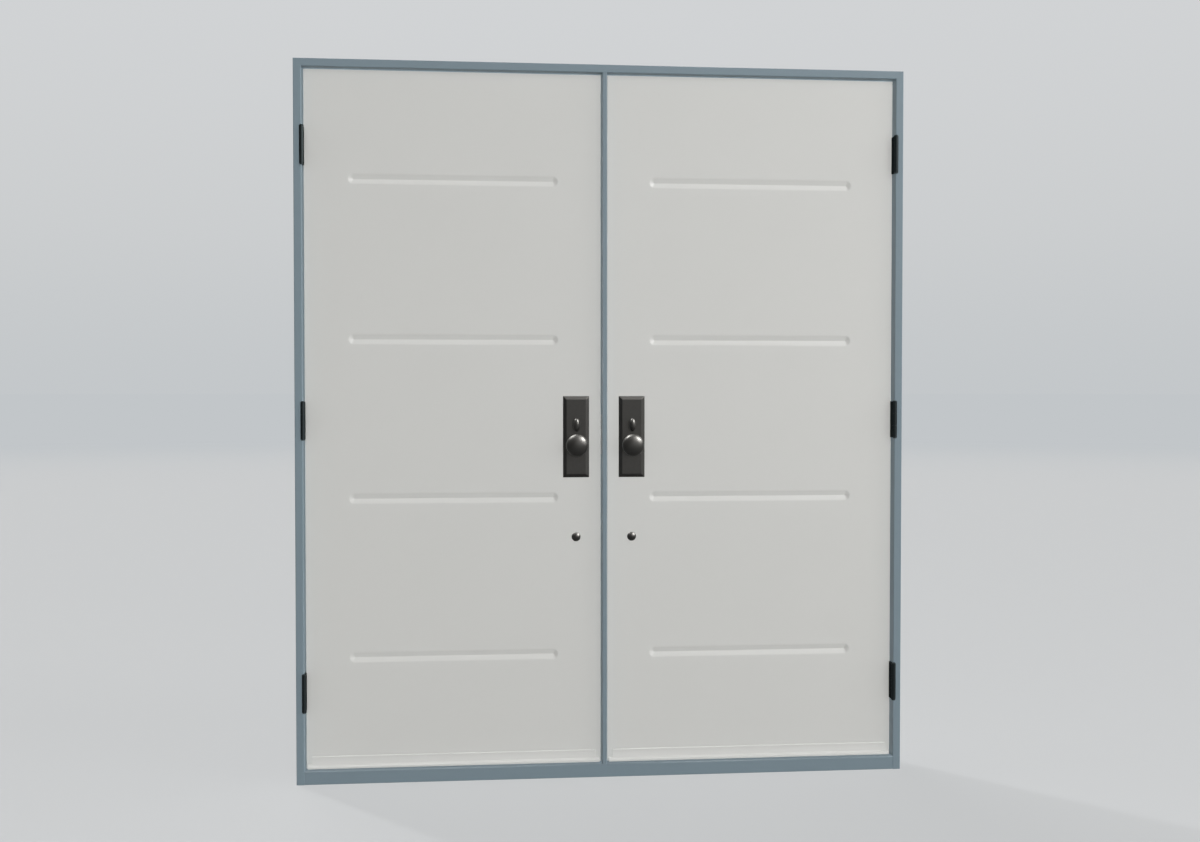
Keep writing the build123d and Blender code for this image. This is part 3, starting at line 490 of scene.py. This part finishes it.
# Trim of the far side, hinges, strikes, lock fronts and bolts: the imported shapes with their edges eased
eased = {
    "outer_plate": ("leaf", oiledBronze, "bronze", 0.5), "grip": ("leaf", oiledBronze, "bronze", 0),
    "key_cylinder": ("leaf", oiledBronze, "bronze", 0.5), "thumb_piece": ("thumb_piece", oiledBronze, "bronze", 0.7),
    "strike": ("frame", brushedSteel, "bolt_steel", 0.3), "lock_front": ("leaf", brushedSteel, "bolt_steel", 0.3),
    "latch": ("latch", brushedSteel, "bolt_steel", 0.6), "deadbolt": ("deadbolt", brushedSteel, "bolt_steel", 0.6),
}
for place in ("bottom", "middle", "top"):
    eased[f"{place}_frame_hinge"] = ("frame", blackSteel, "hinge_steel", 0.4)
    eased[f"{place}_leaf_hinge"] = ("leaf", blackSteel, "hinge_steel", 0.4)
for sideName in sides:
    for part, (body, material, slot, width) in eased.items():
        name = f"{sideName}_{part}"
        bm = cadCopy(name)
        if width:
            roundEdges(bm, width * mm)
        owner = body if body == "frame" else f"{sideName}_{body}"
        addPiece(bm, name + "Eased", owner, material, [name])
addPiece(cadCopy("hinge_pins"), "hingePins", "frame", blackSteel, ["hinge_pins"])
print("hardware made")

# Countersunk screws with a cross recess, in hinges, strikes and lock fronts
screw = {"radius": 4.4 * mm, "taper": 0.2 * mm, "depth": 2.4 * mm, "proud": 0.15 * mm, "recess": 1.6 * mm,
         "slot": 1.1 * mm, "arm": 2.5 * mm}


def addScrew(bm, place, normal):
    made = bmesh.new()
    bmesh.ops.create_cone(made, cap_ends=True, segments=32, radius1=screw["radius"],
                          radius2=screw["radius"] - screw["taper"], depth=screw["depth"])
    for axis in (Vector((1, 0, 0)), Vector((0, 1, 0))):
        for reach in (screw["slot"] / 2, screw["arm"]):
            for way in (1, -1):
                top = [f for f in made.faces if f.normal.z > 0.9]
                bmesh.ops.bisect_plane(made, geom=top + list({e for f in top for e in f.edges}),
                                       plane_co=axis * reach * way, plane_no=axis)
    cross = []
    for face in made.faces:
        middle = face.calc_center_median()
        across, along = sorted((abs(middle.x), abs(middle.y)))
        if face.normal.z > 0.9 and across < screw["slot"] / 2 and along < screw["arm"]:
            cross.append(face)
    sunk = bmesh.ops.extrude_face_region(made, geom=cross)["geom"]
    pit = [g for g in sunk if isinstance(g, bmesh.types.BMVert)]
    bmesh.ops.translate(made, vec=(0, 0, -screw["recess"]), verts=pit)
    bmesh.ops.delete(made, geom=cross, context="FACES_ONLY")
    turnTo = normal.to_track_quat("Z", "Y").to_matrix().to_4x4()
    seat = Matrix.Translation(place + normal * (screw["proud"] - screw["depth"] / 2))
    bmesh.ops.transform(made, matrix=seat @ turnTo, verts=made.verts)
    mesh = bpy.data.meshes.new("screw")
    made.to_mesh(mesh)
    made.free()
    bm.from_mesh(mesh)
    bpy.data.meshes.remove(mesh)


# Places of the screws in millimetres: for each hinge (y, height from its middle), then each row's x
hingeHeights = [281 * mm, 1109 * mm, 1940 * mm]
hingeHoles = ((-14, -42), (-24, -14), (-24, 14), (-14, 42))
lockMiddle = (-10.5, 1063)
screwRows = {
    "FrameHingeScrews": ("frame", blackSteel, "hinge_steel", Vector((-1, 0, 0)),
                         [(917.75, y, z / mm + dz) for z in hingeHeights for y, dz in hingeHoles]),
    "LeafHingeScrews": ("leaf", blackSteel, "hinge_steel", Vector((1, 0, 0)),
                        [(914.75, y, z / mm + dz) for z in hingeHeights for y, dz in hingeHoles]),
    "StrikeScrews": ("frame", brushedSteel, "bolt_steel", Vector((1, 0, 0)),
                     [(6.75, lockMiddle[0], lockMiddle[1] + dz) for dz in (-54, 54)]),
    "FrontScrews": ("leaf", brushedSteel, "bolt_steel", Vector((-45, 2.8, 0)).normalized(),
                    [(11.15, lockMiddle[0], lockMiddle[1] + dz) for dz in (-92, 92)]),
}
for sideName, sign in sides.items():
    for rowName, (body, material, slot, normal, places) in screwRows.items():
        bm = bmesh.new()
        for place in places:
            addScrew(bm, Vector(place) * mm, normal)
        owner = body if body == "frame" else f"{sideName}_{body}"
        addPiece(turnToSide(bm, sign), sideName + rowName, owner, material)
print("screws seated")

# Inner pieces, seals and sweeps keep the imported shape
plainNodes = {"anchor_plates": zincSteel}
for sideName in sides:
    plainNodes[f"{sideName}_seal"] = sealRubber
    plainNodes[f"{sideName}_sweep"] = sealRubber
    plainNodes[f"{sideName}_channels"] = zincSteel
    plainNodes[f"{sideName}_core"] = coreFoam
    plainNodes[f"{sideName}_lock_case"] = zincSteel
for name, material in plainNodes.items():
    nodes[name].material_slots[0].material = material
print("inner pieces dressed")
